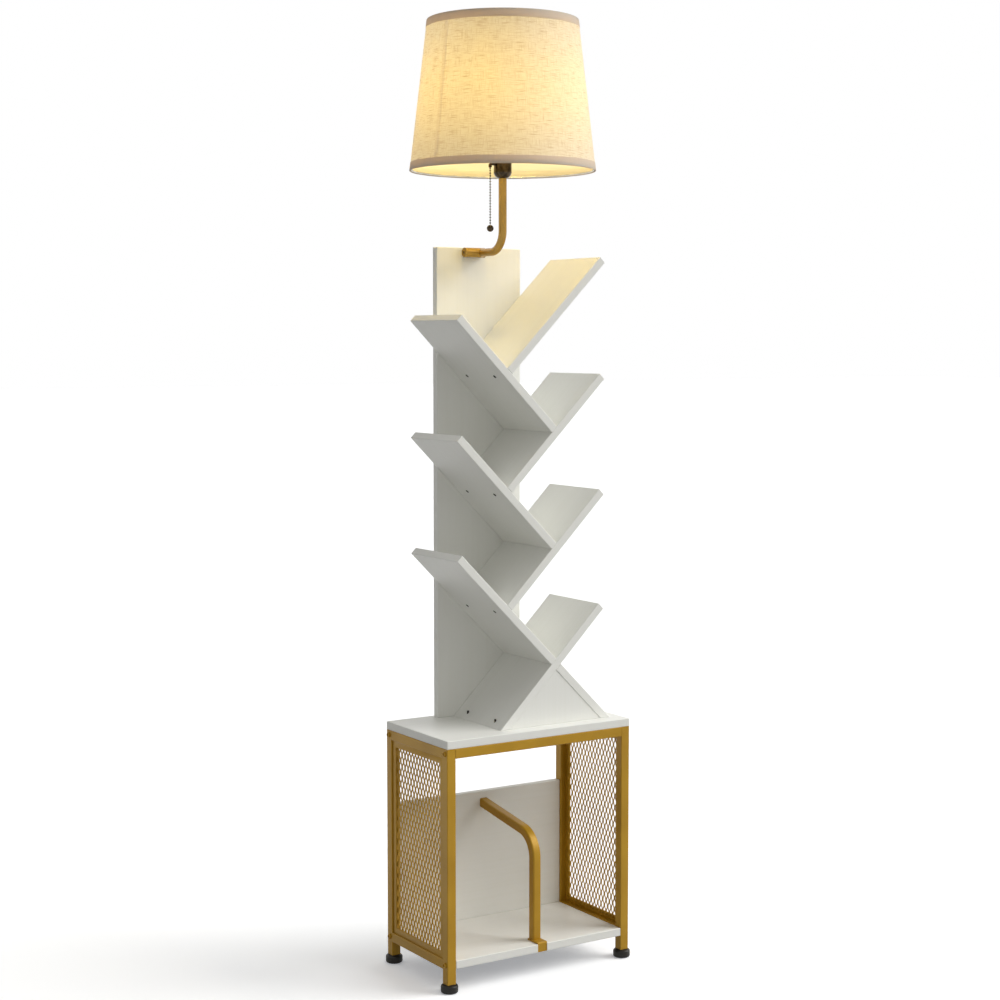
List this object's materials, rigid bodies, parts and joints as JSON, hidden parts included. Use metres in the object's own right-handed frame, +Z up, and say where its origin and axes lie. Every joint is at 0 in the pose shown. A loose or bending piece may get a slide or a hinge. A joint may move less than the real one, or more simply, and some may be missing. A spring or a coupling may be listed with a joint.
{
  "type": "shelf floor lamp",
  "caption": "Floor lamp with a fabric drum shade on a bent arm over a zigzag bookshelf and an open mesh-sided cabinet on levelling feet.",
  "frame": {"origin": "on the floor under the middle of the lamp's bounding box, which is the middle of the base", "axes": "+Z up, +X to the lamp's right as seen from the front, -Y towards the front, where the shelves open"},
  "size_m": [0.414, 0.342, 1.75],
  "materials": {
    "white_board": "white laminate, satin",
    "gold_metal": "gold powder coat, satin",
    "bronze_metal": "dark bronze, semi-gloss",
    "dark_steel": "blackened",
    "plated_steel": "zinc plated",
    "foot_plastic": "matte black",
    "black_plastic": "matte black",
    "brass": "bare",
    "porcelain": "unglazed",
    "bulb_glass": "frosted",
    "shade_linen": "slub linen weave",
    "beech": "bare"
  },
  "bodies": {
    "stand": {"arm_barrel": "gold_metal", "arm_set_screw": "dark_steel", "back_board": "white_board", "back_board_screws": "dark_steel", "bottom_shelf": "white_board", "bulb_cap": "plated_steel", "bulb_glass": "bulb_glass", "cabinet_screws": "dark_steel", "centre_contact": "brass", "chain_guide": "bronze_metal", "cord_gland": "black_plastic", "divider_bar": "gold_metal", "divider_clip": "gold_metal", "divider_plugs": "black_plastic", "dowels": "beech", "finial": "plated_steel", "foot_front_panel": "white_board", "foot_inserts": "black_plastic", "frame_bolts": "gold_metal", "front_top_rail": "gold_metal", "harp": "plated_steel", "lamp_arm": "gold_metal", "left_mesh_panel": "gold_metal", "left_shelf_lower": "white_board", "left_shelf_top": "white_board", "left_shelf_upper": "white_board", "left_side_frame": "gold_metal", "lock_nut": "plated_steel", "rail_end_plugs": "black_plastic", "rear_stop_panel": "white_board", "rear_top_rail": "gold_metal", "right_leg": "white_board", "right_mesh_panel": "gold_metal", "right_shelf_foot": "white_board", "right_shelf_lower": "white_board", "right_shelf_top": "white_board", "right_shelf_upper": "white_board", "right_side_frame": "gold_metal", "ring_nut": "bronze_metal", "screw_sleeve": "brass", "shade": "shade_linen", "shade_bindings": "shade_linen", "shade_bottom_ring": "plated_steel", "shade_spider": "plated_steel", "shelf_screws": "dark_steel", "socket_cap": "bronze_metal", "socket_core": "porcelain", "socket_shell": "bronze_metal", "switch_body": "black_plastic", "top_board": "white_board"},
    "foot_front_left": {"foot_front_left": "foot_plastic"},
    "foot_front_right": {"foot_front_right": "foot_plastic"},
    "foot_rear_left": {"foot_rear_left": "foot_plastic"},
    "foot_rear_right": {"foot_rear_right": "foot_plastic"},
    "chain_link": {"chain_link": "bronze_metal"},
    "pull_chain": {"bead_chain": "bronze_metal", "pull_ball": "bronze_metal"}
  },
  "joints": [
    {"name": "level_front_left", "type": "slide", "parent": "stand", "child": "foot_front_left", "axis": [0, 0, -1], "range_m": [0, 0.008]},
    {"name": "level_front_right", "type": "slide", "parent": "stand", "child": "foot_front_right", "axis": [0, 0, -1], "range_m": [0, 0.008]},
    {"name": "level_rear_left", "type": "slide", "parent": "stand", "child": "foot_rear_left", "axis": [0, 0, -1], "range_m": [0, 0.008]},
    {"name": "level_rear_right", "type": "slide", "parent": "stand", "child": "foot_rear_right", "axis": [0, 0, -1], "range_m": [0, 0.008]},
    {"name": "chain_pull", "type": "slide", "parent": "stand", "child": "chain_link", "axis": [0, 0, -1], "range_m": [0, 0.0055], "stiffness_N_per_m": 600, "springref_m": -0.003},
    {"name": "chain_swing", "type": "hinge", "parent": "chain_link", "child": "pull_chain", "pos_m": [-0.04, 0, 1.4821], "axis": [0, 1, 0], "range_deg": [-5, 35]}
  ]
}
